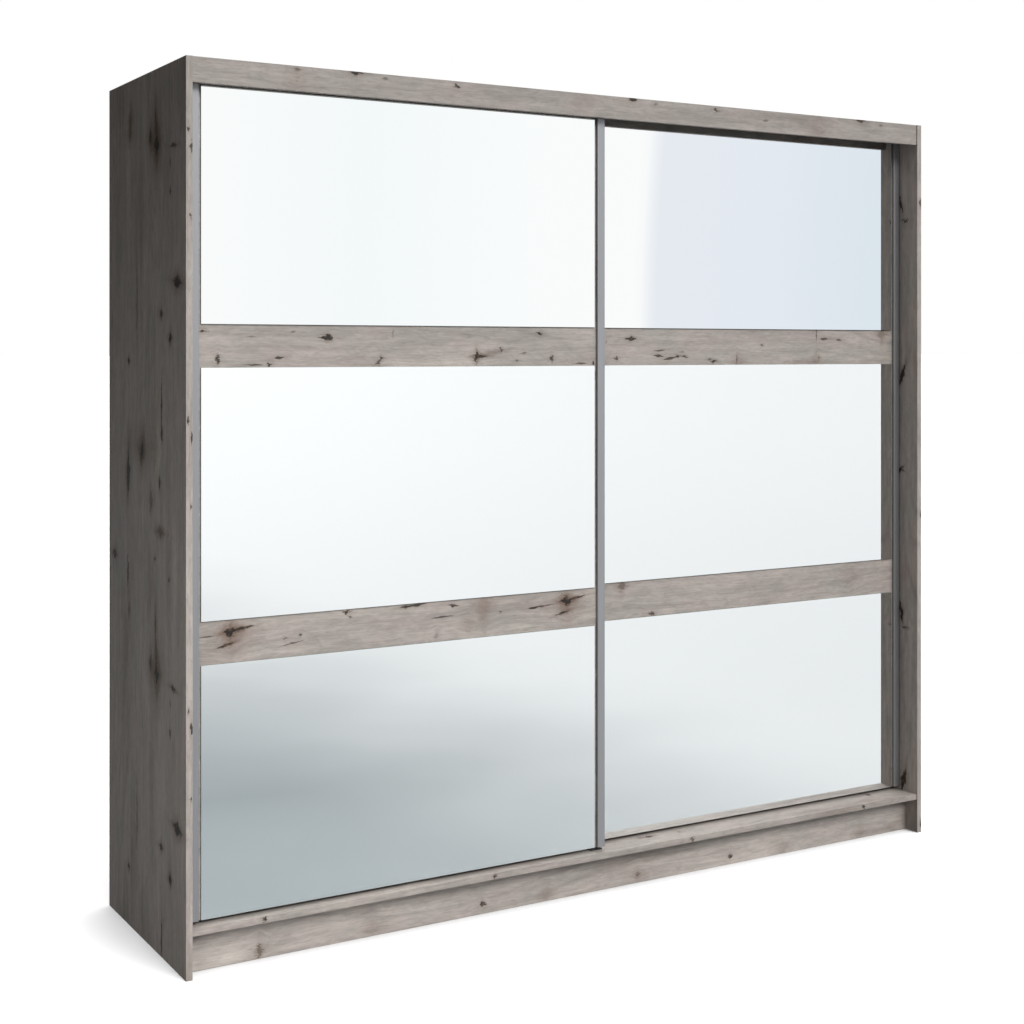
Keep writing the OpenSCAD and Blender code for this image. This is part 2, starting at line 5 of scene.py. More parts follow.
import bpy
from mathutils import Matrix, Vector


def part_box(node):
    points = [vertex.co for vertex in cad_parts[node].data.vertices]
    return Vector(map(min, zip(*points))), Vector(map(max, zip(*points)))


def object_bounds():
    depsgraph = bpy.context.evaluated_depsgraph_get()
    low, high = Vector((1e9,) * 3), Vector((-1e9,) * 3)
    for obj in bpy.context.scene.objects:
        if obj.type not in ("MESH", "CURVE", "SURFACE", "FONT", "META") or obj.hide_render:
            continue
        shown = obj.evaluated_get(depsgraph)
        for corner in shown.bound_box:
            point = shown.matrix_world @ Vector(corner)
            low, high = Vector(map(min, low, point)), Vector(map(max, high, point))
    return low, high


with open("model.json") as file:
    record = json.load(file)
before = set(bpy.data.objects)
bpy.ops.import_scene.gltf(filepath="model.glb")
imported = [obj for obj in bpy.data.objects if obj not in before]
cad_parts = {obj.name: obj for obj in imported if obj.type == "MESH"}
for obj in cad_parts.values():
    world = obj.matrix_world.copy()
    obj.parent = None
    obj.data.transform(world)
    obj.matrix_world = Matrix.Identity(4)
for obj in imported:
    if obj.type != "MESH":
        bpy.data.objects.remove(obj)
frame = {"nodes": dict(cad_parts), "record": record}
cad_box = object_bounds()
nodes = frame["nodes"]
slots = {part["node"]: part["material_slot"] for part in frame["record"]["subparts"]}

low, high = cad_box
left_x, right_x, front = low[0], high[0], low[1]


# ---- Node material helpers ----

def linear(*levels):
    """An sRGB colour with levels of 0 to 255 as linear values."""
    parts = [level / 255 for level in levels]
    return tuple(v / 12.92 if v < 0.0404 else ((v + 0.055) / 1.055) ** 2.4 for v in parts)


class Graph:
    """Adds nodes to one node tree. An argument is either a socket or a plain value."""

    def __init__(self, tree):
        self.tree = tree

    def add(self, kind, inputs=(), **settings):
        node = self.tree.nodes.new("ShaderNode" + kind)
        for key, value in settings.items():
            setattr(node, key, value)
        for key, value in dict(inputs).items():
            self.put(node.inputs[key], value)
        return node

    def put(self, socket, value):
        if isinstance(value, bpy.types.NodeSocket):
            self.tree.links.new(value, socket)
        elif socket.type == "RGBA":
            socket.default_value = (*value[:3], 1.0)
        else:
            socket.default_value = value

    def placed(self, tree, **inputs):
        """The outputs of one node group with these inputs."""
        node = self.add("Group", node_tree=tree)
        for key, value in inputs.items():
            self.put(node.inputs[key], value)
        return node.outputs

    def math(self, operation, a, b=0.0):
        return self.add("Math", {0: a, 1: b}, operation=operation).outputs[0]

    def vector(self, operation, a, b=(0, 0, 0)):
        node = self.add("VectorMath", {0: a, 1: b}, operation=operation)
        return node.outputs["Value" if operation in ("LENGTH", "DOT_PRODUCT") else "Vector"]

    def fused(self, vector, factor, added):
        """Vector times factor, plus added."""
        return self.add("VectorMath", {0: vector, 1: factor, 2: added}, operation="MULTIPLY_ADD").outputs[0]

    def scaled(self, vector, factor):
        """A vector made longer or shorter, or a colour made lighter or darker, by a factor."""
        return self.add("VectorMath", {0: vector, "Scale": factor}, operation="SCALE").outputs[0]

    def split(self, vector):
        return self.add("SeparateXYZ", {0: vector}).outputs

    def join(self, x, y, z):
        return self.add("CombineXYZ", {0: x, 1: y, 2: z}).outputs[0]

    def noise(self, vector, scale=1.0, detail=2.0, roughness=0.5, distortion=0.0, colour=False):
        node = self.add("TexNoise", {"Vector": vector, "Scale": scale, "Detail": detail,
                                     "Roughness": roughness, "Distortion": distortion})
        return node.outputs["Color" if colour else "Fac"]

    def step(self, value, low, high, to_low=0.0, to_high=1.0):
        """A smooth step: to_low up to low, to_high from high on."""
        inputs = {"Value": value, "From Min": low, "From Max": high, "To Min": to_low, "To Max": to_high}
        return self.add("MapRange", inputs, interpolation_type="SMOOTHSTEP").outputs[0]

    def mix(self, factor, a, b):
        """Colour a where factor is 0 and colour b where it is 1."""
        node = self.add("Mix", data_type="RGBA")
        for index, value in ((0, factor), (6, a), (7, b)):
            self.put(node.inputs[index], value)
        return node.outputs[2]

    def ramp(self, value, stops):
        """A colour ramp with stops of place and colour."""
        node = self.add("ValToRGB", {0: value})
        band = node.color_ramp
        for _ in range(len(stops) - 2):
            band.elements.new(0.5)
        for element, (place, colour) in zip(band.elements, stops):
            element.position = place
            element.color = (*colour, 1.0)
        return node.outputs[0]


def material(name):
    """A new material: its graph and its Principled shader."""
    made = bpy.data.materials.new(name)
    made.use_nodes = True
    shader = made.node_tree.nodes["Principled BSDF"]
    return made, Graph(made.node_tree), shader


def bump(g, shader, height, distance, strength):
    node = g.add("Bump", {"Height": height, "Distance": distance, "Strength": strength})
    g.put(shader.inputs["Normal"], node.outputs[0])


def object_point(g):
    return g.add("TexCoord").outputs["Object"]


def normal(g, axis):
    """How far the surface looks along an axis, from -1 to 1."""
    return g.split(g.add("NewGeometry").outputs["Normal"])[axis]


def centred(g, noise_colour):
    """A noise colour moved so that its middle is zero."""
    return g.vector("SUBTRACT", noise_colour, (0.5, 0.5, 0.5))


# ---- Rustic oak decor ----
# Every board has its own (u, v, w): u along the grain, v and w across it. AXES says which of x, y and z
# each of them is.

AXES = {"flat": (0, 1, 2), "front": (0, 2, 1), "upright": (2, 1, 0)}

# where darkness, brown halo and push start to fade and where they end, in radii of a knot
FADE_STARTS, FADE_ENDS = (0.80, 0.7, 0.5), (1.15, 3.0, 4.5)
# how much of the summed distances along, across and through a knot makes one radius
KNOT_POINTS = 0.68
# knots narrower than this are moved less by the ragged noise
FINE_KNOT = 0.006


def group(name, inputs, outputs):
    """An empty node group with its graph and its input and output sockets."""
    tree = bpy.data.node_groups.new(name, "ShaderNodeTree")
    for kind, key in inputs:
        tree.interface.new_socket(key, in_out="INPUT", socket_type="NodeSocket" + kind)
    for kind, key in outputs:
        tree.interface.new_socket(key, in_out="OUTPUT", socket_type="NodeSocket" + kind)
    g = Graph(tree)
    return tree, g, tree.nodes.new("NodeGroupInput").outputs, tree.nodes.new("NodeGroupOutput").inputs


def make_knot_group():
    """Adds one knot or crack to Marks, which holds darkness, brown halo and the push on the grain as x, y
    and z. Its ends are pointed. All three fade in one vector, with the distance from its middle counted in
    radii."""
    vectors = [("Vector", key) for key in ("Marks", "Point", "Centre", "Half", "Amount")]
    tree, g, given, out = group("knot", vectors + [("Float", "Angle")], [("Vector", "Marks")])
    local = g.vector("SUBTRACT", given["Point"], given["Centre"])
    turn = {"Vector": local, "Angle": given["Angle"]}
    turned = g.add("VectorRotate", turn, rotation_type="Z_AXIS").outputs[0]
    inside = g.vector("ABSOLUTE", g.vector("DIVIDE", turned, given["Half"]))
    radius = g.math("MULTIPLY", g.vector("DOT_PRODUCT", inside, (1, 1, 1)), KNOT_POINTS)
    slopes = tuple(-1 / (end - start) for start, end in zip(FADE_STARTS, FADE_ENDS))
    heights = tuple(-end * slope for end, slope in zip(FADE_ENDS, slopes))
    fade = g.fused(g.join(radius, radius, radius), slopes, heights)
    fade = g.vector("MINIMUM", g.vector("MAXIMUM", fade, (0, 0, 0)), (1, 1, 1))
    fade = g.vector("MULTIPLY", fade, fade)
    side = g.join(1.0, 1.0, g.vector("DOT_PRODUCT", turned, (0, 1, 0)))
    g.put(out["Marks"], g.fused(g.vector("MULTIPLY", fade, side), given["Amount"], given["Marks"]))
    return tree


def make_grain_group():
    """The decor without its knots: fibres, pores, growth figure and slow changes of tone."""
    outputs = [("Color", "Color"), ("Float", "Height")]
    tree, g, given, out = group("oak_grain", [("Vector", "Point")], outputs)
    point = given["Point"]

    def stretched(u, across):
        return g.vector("MULTIPLY", point, (u, across, across))

    bend = g.math("SUBTRACT", g.noise(stretched(1.7, 8.0), detail=1.0), 0.5)
    bend = g.math("MULTIPLY", bend, 0.035)
    wavy = g.vector("ADD", point, g.join(0.0, bend, bend))

    def along(u, across, detail, roughness=0.55):
        return g.noise(g.vector("MULTIPLY", wavy, (u, across, across)), detail=detail, roughness=roughness)

    # growth figure: level lines of a slow noise, so that they close into flames
    hill = g.math("MULTIPLY", g.noise(stretched(0.75, 5.5), detail=1.5, roughness=0.4), 15.0)
    hill = g.math("ADD", hill, g.math("MULTIPLY", along(3.0, 40.0, 2.0), 0.8))
    ring = g.math("ABSOLUTE", g.math("SUBTRACT", g.math("FRACT", hill), 0.5))
    ring = g.step(ring, 0.5, 0.28)
    shown = g.step(g.noise(stretched(0.9, 4.0), detail=1.0), 0.42, 0.66)
    figure = g.math("MULTIPLY", g.math("SUBTRACT", 1.0, ring), shown)

    streak = along(2.4, 52.0, 5.0, 0.66)
    fibre = along(9.0, 330.0, 3.0, 0.6)
    pore = g.step(along(34.0, 850.0, 2.0), 0.60, 0.72)
    waves = g.vector("MULTIPLY", wavy, (26.0, 95.0, 95.0))
    ripple = g.noise(waves, detail=3.0, roughness=0.6, distortion=0.9)
    patch = g.noise(stretched(2.0, 9.0), detail=3.0, roughness=0.6)
    elsewhere = g.vector("ADD", stretched(7.0, 16.0), (5.3, 1.7, 8.1))
    tint = g.noise(elsewhere, detail=3.0, roughness=0.6)

    colour = g.mix(g.step(tint, 0.36, 0.64), linear(173, 162, 156), linear(165, 158, 151))
    colour = g.mix(g.step(patch, 0.50, 0.78), colour, linear(187, 178, 170))
    colour = g.mix(g.step(patch, 0.44, 0.22), colour, linear(146, 136, 128))
    colour = g.scaled(colour, g.step(streak, 0.24, 0.76, 0.87, 1.12))
    colour = g.scaled(colour, g.step(ripple, 0.25, 0.75, 0.88, 1.10))
    colour = g.scaled(colour, g.step(fibre, 0.15, 0.85, 0.88, 1.10))
    colour = g.scaled(colour, g.math("SUBTRACT", 1.0, g.math("MULTIPLY", figure, 0.16)))
    colour = g.mix(g.math("MULTIPLY", pore, 0.34), colour, linear(92, 82, 74))
    g.put(out["Color"], colour)
    height = g.math("SUBTRACT", g.math("MULTIPLY", fibre, 0.35), g.math("MULTIPLY", pore, 0.65))
    g.put(out["Height"], height)
    return tree


def make_scatter_group():
    """Sparse knots at random places, for faces whose knots aren't set one by one."""
    tree, g, given, out = group("scattered_knots", [("Vector", "Point"), ("Vector", "Ragged")],
                                [("Float", "Core"), ("Float", "Halo"), ("Float", "Push")])
    cells = (1.9, 6.5, 0.0)
    scaled = g.vector("MULTIPLY", given["Point"], cells)
    cell = g.add("TexVoronoi", {"Vector": scaled, "Scale": 1.0, "Randomness": 0.85},
                 voronoi_dimensions="2D", feature="F1")
    gap = g.vector("SUBTRACT", scaled, cell.outputs["Position"])
    gap = g.vector("MULTIPLY", gap, (1 / cells[0], 1 / cells[1], 0.0))
    chance = g.split(cell.outputs["Color"])
    half_u = g.step(chance["X"], 0.35, 1.0, 0.003, 0.019)
    half_v = g.step(chance["Y"], 0.0, 1.0, 0.0025, 0.011)
    half = g.join(half_u, half_v, 1.0)
    ragged_gap = g.vector("ADD", gap, given["Ragged"])
    radius = g.vector("LENGTH", g.vector("DIVIDE", ragged_gap, half))
    smooth_radius = g.vector("LENGTH", g.vector("DIVIDE", gap, half))
    real = g.math("GREATER_THAN", chance["Z"], 0.30)
    g.put(out["Core"], g.math("MULTIPLY", real, g.step(radius, 1.2, 0.7)))
    g.put(out["Halo"], g.math("MULTIPLY", real, g.step(radius, 2.8, 0.8)))
    side = g.math("MULTIPLY", g.split(gap)["Y"], real)
    g.put(out["Push"], g.math("MULTIPLY", side, g.step(smooth_radius, 4.0, 0.6, 0.0, 0.5)))
    return tree


KNOT = make_knot_group()
GRAIN = make_grain_group()
SCATTER = make_scatter_group()


def oak(name, lay, shift, knots=(), scattered=True, tone=1.0):
    """Oak decor for one board. lay says how the grain runs, shift moves the grain so that no two boards are
    alike, scattered adds knots at random places, and tone makes the wood lighter or darker."""
    made, g, shader = material(name)
    order = AXES[lay]
    axes = g.split(object_point(g))
    point = g.join(*(axes[i] for i in order))
    fine = g.noise(g.vector("MULTIPLY", point, (75, 260, 260)), detail=3.0, roughness=0.6, colour=True)
    coarse = g.noise(point, scale=60.0, detail=2.0, colour=True)
    ragged = g.vector("ADD", g.vector("MULTIPLY", centred(g, fine), (0.030, 0.010, 0.008)),
                      g.scaled(centred(g, coarse), 0.012))
    moved = g.vector("ADD", point, shift)
    marks = (0.0, 0.0, 0.0)
    if scattered:
        far = g.placed(SCATTER, Point=moved, Ragged=ragged)
        marks = g.join(far["Core"], g.math("MULTIPLY", far["Halo"], 0.7), far["Push"])
    ragged_point = g.vector("ADD", point, ragged)
    finer_point = g.vector("ADD", point, g.scaled(ragged, 0.4))
    for centre, size, angle, dark, brown in knots:
        around = ragged_point if min(size[:2]) > FINE_KNOT else finer_point
        marks = g.placed(KNOT, Marks=marks, Point=around, Centre=[centre[i] for i in order],
                         Half=[length / 2 for length in size], Amount=(dark, brown, 0.5),
                         Angle=-math.radians(angle))["Marks"]
    parts = g.split(marks)
    core, halo = g.math("MINIMUM", parts["X"], 1.0), g.math("MINIMUM", parts["Y"], 1.7)
    bent = g.vector("SUBTRACT", moved, g.join(0.0, parts["Z"], 0.0))
    grain = g.placed(GRAIN, Point=bent)
    colour = g.mix(g.math("MULTIPLY", halo, 0.55), g.scaled(grain["Color"], tone), linear(112, 92, 78))
    heart = g.mix(g.step(g.split(coarse)["Z"], 0.50, 0.62), linear(26, 20, 16), linear(74, 55, 42))
    colour = g.mix(g.math("MULTIPLY", core, 0.95), colour, heart)
    g.put(shader.inputs["Base Color"], colour)
    g.put(shader.inputs["Roughness"], g.step(g.split(fine)["X"], 0.3, 0.7, 0.50, 0.60))
    shader.inputs["Specular IOR Level"].default_value = 0.35
    height = g.math("SUBTRACT", grain["Height"], g.math("MULTIPLY", core, 1.6))
    bump(g, shader, height, 0.0004, 0.6)
    return made


def knot(centre, along, across, angle, dark, brown=0.6, through=0.014):
    """A knot or crack round a centre in metres, with its size along, across and through the grain in metres.
    Its angle in degrees turns it from along the grain towards across it."""
    return centre, (along, across, through), angle, dark, brown


def show(node, made):
    """Gives a CAD node one material on every slot."""
    mesh = nodes[node].data
    mesh.materials.clear()
    mesh.materials.append(made)
    for face in mesh.polygons:
        face.material_index = 0


# ---- Knots, as seen on the real decor ----
# The decor is a print, so most of its knots come again after a period along the grain.

fascia_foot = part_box("top_fascia")[0].z
upper_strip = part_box("left_door_mirror_middle")[1].z
lower_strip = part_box("left_door_mirror_bottom")[1].z


def repeated(period, times, rows):
    """Rows that come again, with their first value a period further each time."""
    return [(first + i * period, *rest) for i in range(times) for first, *rest in rows]


def on_front(node, foot, rows):
    """Knots on a board's front: rows of the distance from its left end, height above foot, and the knot."""
    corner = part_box(node)[0]
    return [knot((corner.x + x, corner.y, foot + z), *shape) for x, z, *shape in rows]


def on_side(x, rows):
    """Knots on a side's face at x: rows of the height, the distance behind the front edge, and the knot."""
    return [knot((x, front + y, z), *shape) for z, y, *shape in rows]


FASCIA = on_front("top_fascia", fascia_foot, repeated(0.826, 3, [
    (0.421, 0.057, 0.030, 0.014, 0, 1.0, 0.7), (0.704, 0.048, 0.016, 0.009, 0, 0.9, 0.6),
    (0.499, 0.049, 0.012, 0.006, 0, 0.5, 0.4), (0.259, 0.030, 0.050, 0.050, 0, 0.0, 0.35)]) + [
    (0.264, 0.052, 0.012, 0.006, 0, 0.5, 0.5), (1.709, 0.032, 0.014, 0.006, 10, 0.5, 0.4)])

LEFT_DOOR = on_front("left_door_board", upper_strip, repeated(0.934, 2, [
    (0.032, 0.085, 0.018, 0.008, 0, 1.0, 0.6), (0.070, 0.020, 0.009, 0.020, 0, 0.9, 0.5),
    (0.161, 0.006, 0.040, 0.004, 0, 0.8, 0.3), (0.201, 0.008, 0.009, 0.009, 0, 1.0, 0.4)]) + [
    (0.156, 0.073, 0.025, 0.003, 0, 0.4, 0.3), (0.226, 0.023, 0.020, 0.006, 8, 0.9, 0.5),
    (0.263, 0.086, 0.014, 0.004, 15, 0.5, 0.3), (0.354, 0.073, 0.032, 0.015, 0, 1.0, 0.7),
    (0.491, 0.011, 0.018, 0.008, 25, 0.7, 0.8), (0.501, 0.022, 0.011, 0.009, 0, 0.9, 0.5),
    (0.533, 0.084, 0.004, 0.016, 0, 0.4, 0.3), (0.774, 0.025, 0.013, 0.027, 0, 1.0, 1.0),
    (0.788, 0.025, 0.034, 0.006, 2, 0.9, 0.8), (0.816, 0.034, 0.060, 0.008, 10, 0.1, 0.8),
    (0.849, 0.041, 0.007, 0.011, 0, 0.8, 0.5), (0.896, 0.014, 0.012, 0.006, 0, 0.5, 0.4),
    (0.917, 0.034, 0.018, 0.004, 10, 0.5, 0.3)])
LEFT_DOOR += on_front("left_door_board", lower_strip, repeated(0.947, 2, [
    (0.102, 0.073, 0.027, 0.023, 0, 1.0, 1.2), (0.131, 0.079, 0.056, 0.006, 8, 0.9, 0.8),
    (0.090, 0.042, 0.038, 0.006, 14, 0.9, 0.7), (0.106, 0.064, 0.058, 0.052, 0, 0.0, 0.8)]) + [
    (0.041, 0.066, 0.040, 0.003, 2, 0.7, 0.2), (0.242, 0.046, 0.007, 0.007, 0, 0.7, 0.6),
    (0.282, 0.050, 0.007, 0.006, 0, 0.8, 0.6), (0.261, 0.032, 0.055, 0.003, 10, 0.7, 0.2),
    (0.406, 0.096, 0.013, 0.013, 0, 1.0, 0.7), (0.416, 0.083, 0.008, 0.005, 0, 0.6, 0.6),
    (0.569, 0.095, 0.026, 0.006, 4, 0.9, 0.4), (0.601, 0.098, 0.046, 0.006, 4, 0.9, 0.4),
    (0.656, 0.015, 0.012, 0.016, 0, 0.3, 0.3), (0.674, 0.061, 0.055, 0.004, 2, 0.8, 0.2),
    (0.706, 0.088, 0.022, 0.007, -10, 0.9, 0.5), (0.751, 0.042, 0.030, 0.022, 0, 0.0, 0.5),
    (0.796, 0.082, 0.030, 0.050, 0, 0.0, 0.9), (0.846, 0.060, 0.008, 0.004, 0, 0.7, 0.3),
    (0.946, 0.062, 0.024, 0.005, 0, 0.9, 0.3), (0.971, 0.065, 0.070, 0.004, 3, 0.8, 0.2)])

RIGHT_DOOR = on_front("right_door_board", upper_strip, [
    (0.085, 0.064, 0.004, 0.010, 0, 0.4, 0.3), (0.120, 0.019, 0.011, 0.010, 0, 0.9, 0.6),
    (0.168, 0.073, 0.030, 0.009, 0, 1.0, 0.7), (0.266, 0.041, 0.034, 0.004, 5, 0.8, 0.4),
    (0.262, 0.026, 0.030, 0.006, -6, 0.9, 0.5), (0.301, 0.019, 0.038, 0.006, 10, 0.9, 0.5),
    (0.328, 0.024, 0.020, 0.007, 6, 0.9, 0.5), (0.354, 0.023, 0.016, 0.007, 0, 0.8, 0.5),
    (0.345, 0.038, 0.013, 0.004, 0, 0.4, 0.3), (0.442, 0.016, 0.011, 0.005, 0, 0.7, 0.5),
    (0.455, 0.008, 0.018, 0.008, 0, 1.0, 0.6), (0.540, 0.016, 0.004, 0.022, 0, 0.6, 0.5),
    (0.546, 0.012, 0.030, 0.022, 0, 0.0, 0.7), (0.633, 0.056, 0.012, 0.007, 0, 0.7, 0.5),
    (0.869, 0.075, 0.032, 0.007, 0, 0.9, 0.4), (0.929, 0.072, 0.021, 0.006, 0, 0.7, 0.4),
    (0.841, 0.088, 0.004, 0.034, 0, 0.7, 0.3), (0.850, 0.020, 0.008, 0.008, 0, 0.4, 0.5),
    (0.841, 0.016, 0.020, 0.025, 0, 0.0, 0.6), (0.801, 0.007, 0.070, 0.008, 0, 0.0, 0.7),
    (1.101, 0.091, 0.027, 0.030, 0, 0.2, 0.9)])
RIGHT_DOOR += on_front("right_door_board", lower_strip, [
    (0.138, 0.093, 0.022, 0.022, 0, 0.4, 1.0), (0.238, 0.007, 0.013, 0.011, 0, 0.9, 0.9),
    (0.971, 0.067, 0.045, 0.050, 0, 0.0, 0.35)])

PLINTH = on_front("plinth_front", 0.0, repeated(0.8125, 3, [
    (0.184, 0.017, 0.030, 0.024, 0, 0.0, 0.6), (0.484, 0.020, 0.030, 0.024, 0, 0.0, 0.6),
    (0.804, 0.025, 0.012, 0.014, 0, 0.9, 0.7)]) + [
    (0.184, 0.020, 0.012, 0.030, 0, 0.5, 0.5), (1.294, 0.022, 0.012, 0.012, 0, 0.4, 0.3)])

low_board, high_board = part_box("bottom_panel")
BOTTOM = [knot((low_board.x + x, low_board.y + y, high_board.z), *shape) for x, y, *shape in (
    (1.339, 0.057, 0.032, 0.013, 0, 0.9), (1.314, 0.059, 0.014, 0.010, 0, 0.4),
    (1.444, 0.052, 0.014, 0.010, 0, 0.4), (2.164, 0.067, 0.012, 0.022, 0, 0.8))]
BOTTOM += on_front("bottom_panel", low_board.z, repeated(0.634, 4, [
    (0.181, 0.008, 0.0085, 0.0085, 0, 0.9)]))

LEFT_SIDE = on_side(left_x, repeated(1.288, 2, [
    (0.338, 0.062, 0.028, 0.052, -8, 1.0, 1.5), (0.678, 0.212, 0.046, 0.030, 0, 1.0, 1.7),
    (0.713, 0.215, 0.080, 0.012, 4, 0.6, 1.2), (0.698, 0.258, 0.036, 0.015, 0, 0.7, 1.5),
    (0.206, 0.112, 0.026, 0.020, 0, 1.0, 1.2), (0.266, 0.178, 0.017, 0.022, 0, 0.9, 1.2),
    (0.042, 0.175, 0.105, 0.008, -2, 0.9, 0.8), (0.663, 0.088, 0.011, 0.046, -5, 0.9, 0.7),
    (0.555, 0.112, 0.020, 0.008, 0, 0.8, 0.8), (0.624, 0.112, 0.018, 0.006, 0, 0.6, 0.6),
    (0.151, 0.432, 0.015, 0.017, 0, 0.9, 1.0), (0.688, 0.215, 0.110, 0.055, 0, 0.0, 1.0),
    (0.290, 0.365, 0.175, 0.008, 0, 0.3, 0.8)]) + [
    (1.025, 0.185, 0.018, 0.038, 0, 0.3, 1.7), (1.145, 0.190, 0.030, 0.012, 0, 0.9, 1.0),
    (1.212, 0.325, 0.046, 0.025, -15, 1.0, 1.5), (1.225, 0.325, 0.060, 0.085, 0, 0.0, 1.0),
    (0.900, 0.440, 0.090, 0.011, 0, 0.8, 0.9), (1.155, 0.437, 0.110, 0.022, -3, 0.9, 1.4),
    (0.935, 0.552, 0.024, 0.032, 0, 0.9, 1.0), (0.800, 0.222, 0.060, 0.008, 0, 0.6, 0.8),
    (1.300, 0.225, 0.260, 0.030, 0, 0.0, 0.6), (0.420, 0.250, 0.220, 0.026, 0, 0.0, 0.5),
    (1.800, 0.330, 0.260, 0.034, 0, 0.0, 0.5), (0.930, 0.120, 0.240, 0.024, 0, 0.0, 0.4),
    (0.560, 0.470, 0.260, 0.040, 0, 0.0, 0.4), (1.262, 0.173, 0.034, 0.010, 0, 0.9, 0.9),
    (1.098, 0.256, 0.050, 0.020, 0, 0.3, 1.2), (0.956, 0.226, 0.014, 0.012, 0, 0.7, 0.8),
    (0.917, 0.121, 0.014, 0.009, 0, 0.8, 0.6), (0.804, 0.428, 0.030, 0.014, 0, 0.3, 1.2),
    (2.052, 0.416, 0.050, 0.020, 0, 0.1, 1.3), (2.015, 0.425, 0.030, 0.025, 0, 0.1, 1.0)])
LEFT_SIDE += [knot((left_x + x, front, z), along, 0.012, 0, 0.9, 0.5, 0.006)
              for z, x, along in repeated(0.677, 3, [
                  (0.422, 0.011, 0.009), (0.585, 0.013, 0.026), (0.626, 0.005, 0.012)])]

RIGHT_SIDE = on_side(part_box("side_panel_right")[0].x, repeated(1.248, 2, [
    (0.616, 0.051, 0.007, 0.032, 0, 0.9, 0.4), (0.672, 0.071, 0.060, 0.010, 15, 0.9, 0.7)]) + [
    (0.148, 0.058, 0.066, 0.018, -14, 1.0, 0.9), (1.392, 0.062, 0.065, 0.015, -20, 1.0, 0.9),
    (1.100, 0.073, 0.016, 0.014, 0, 1.0, 0.6), (1.106, 0.064, 0.005, 0.024, 40, 0.7, 0.4),
    (1.096, 0.062, 0.005, 0.020, -20, 0.7, 0.4)])
RIGHT_SIDE += [knot((right_x, front, 0.022 + i * 0.945), 0.030, 0.014, 0, 1.0, 0.6, 0.012) for i in range(3)]

show("top_fascia", oak("oak_fascia", "front", (3.1, 0.4, 7.7), FASCIA, False, 0.92))
show("left_door_board", oak("oak_left_door", "front", (11.3, 2.9, 1.3), LEFT_DOOR, False))
show("right_door_board", oak("oak_right_door", "front", (17.9, 5.1, 4.2), RIGHT_DOOR, False))
show("plinth_front", oak("oak_plinth", "front", (23.7, 8.3, 2.6), PLINTH, False, 1.07))
show("bottom_panel", oak("oak_bottom", "flat", (5.9, 12.7, 3.3), BOTTOM, False, 0.94))
show("side_panel_left", oak("oak_side_left", "upright", (1.7, 4.9, 9.1), LEFT_SIDE, False))
show("side_panel_right", oak("oak_side_right", "upright", (8.2, 6.6, 5.4), RIGHT_SIDE, True))
show("top_panel", oak("oak_top", "flat", (14.6, 3.8, 6.1)))
show("centre_partition", oak("oak_partition", "upright", (19.4, 7.2, 2.2)))
show("hat_shelf_left", oak("oak_shelf_left", "flat", (27.1, 9.9, 1.9)))
show("hat_shelf_right", oak("oak_shelf_right", "flat", (31.8, 14.3, 8.8)))
show("plinth_rear", oak("oak_plinth_rear", "front", (36.5, 2.1, 4.7)))
show("plinth_brace", oak("oak_plinth_brace", "front", (41.2, 6.4, 3.9)))


# ---- Mirrors, metals, plastics, board back ----

def make_mirror():
    """Silvered glass: a true mirror in front, and a grey green glass edge round it."""
    made, g, shader = material("mirror")
    facing = g.step(g.math("MULTIPLY", normal(g, "Y"), -1.0), 0.80, 0.95)
    g.put(shader.inputs["Base Color"], g.mix(facing, linear(120, 138, 134), (0.955, 0.968, 0.968)))
    g.put(shader.inputs["Metallic"], g.step(facing, 0.4, 0.6, 0.15, 1.0))
    g.put(shader.inputs["Roughness"], g.step(facing, 0.4, 0.6, 0.18, 0.001))
    return made


def make_metal(name, colour, roughness, brush, spread, spots=0.0, distance=0.00004, metallic=1.0):
    """A metal: brush gives how often its fine lines repeat along x, y and z, spread how much they change its
    tone, and spots the amount of crystal bloom."""
    made, g, shader = material(name)
    point = object_point(g)
    lines = g.noise(g.vector("MULTIPLY", point, brush), detail=3.0, roughness=0.6)
    bloom = g.noise(point, scale=90.0, detail=2.0)
    bloom = g.math("MULTIPLY", g.math("SUBTRACT", bloom, 0.5), spots)
    tone = g.math("ADD", g.step(lines, 0.2, 0.8, 1 - spread, 1 + spread), bloom)
    g.put(shader.inputs["Base Color"], g.scaled(colour, tone))
    shader.inputs["Metallic"].default_value = metallic
    g.put(shader.inputs["Roughness"], g.step(lines, 0.2, 0.8, roughness * 0.85, roughness * 1.15))
    bump(g, shader, lines, distance, 0.5)
    return made


def make_plastic(name, colour, roughness, grain=900.0, distance=0.00005):
    """Moulded plastic or rubber with a fine skin texture."""
    made, g, shader = material(name)
    point = object_point(g)
    skin = g.noise(point, scale=grain, detail=2.0)
    dust = g.noise(point, scale=35.0, detail=3.0)
    g.put(shader.inputs["Base Color"], g.scaled(colour, g.step(dust, 0.3, 0.8, 0.93, 1.10)))
    g.put(shader.inputs["Roughness"], g.step(skin, 0.3, 0.7, roughness - 0.06, roughness + 0.06))
    bump(g, shader, skin, distance, 0.5)
    return made


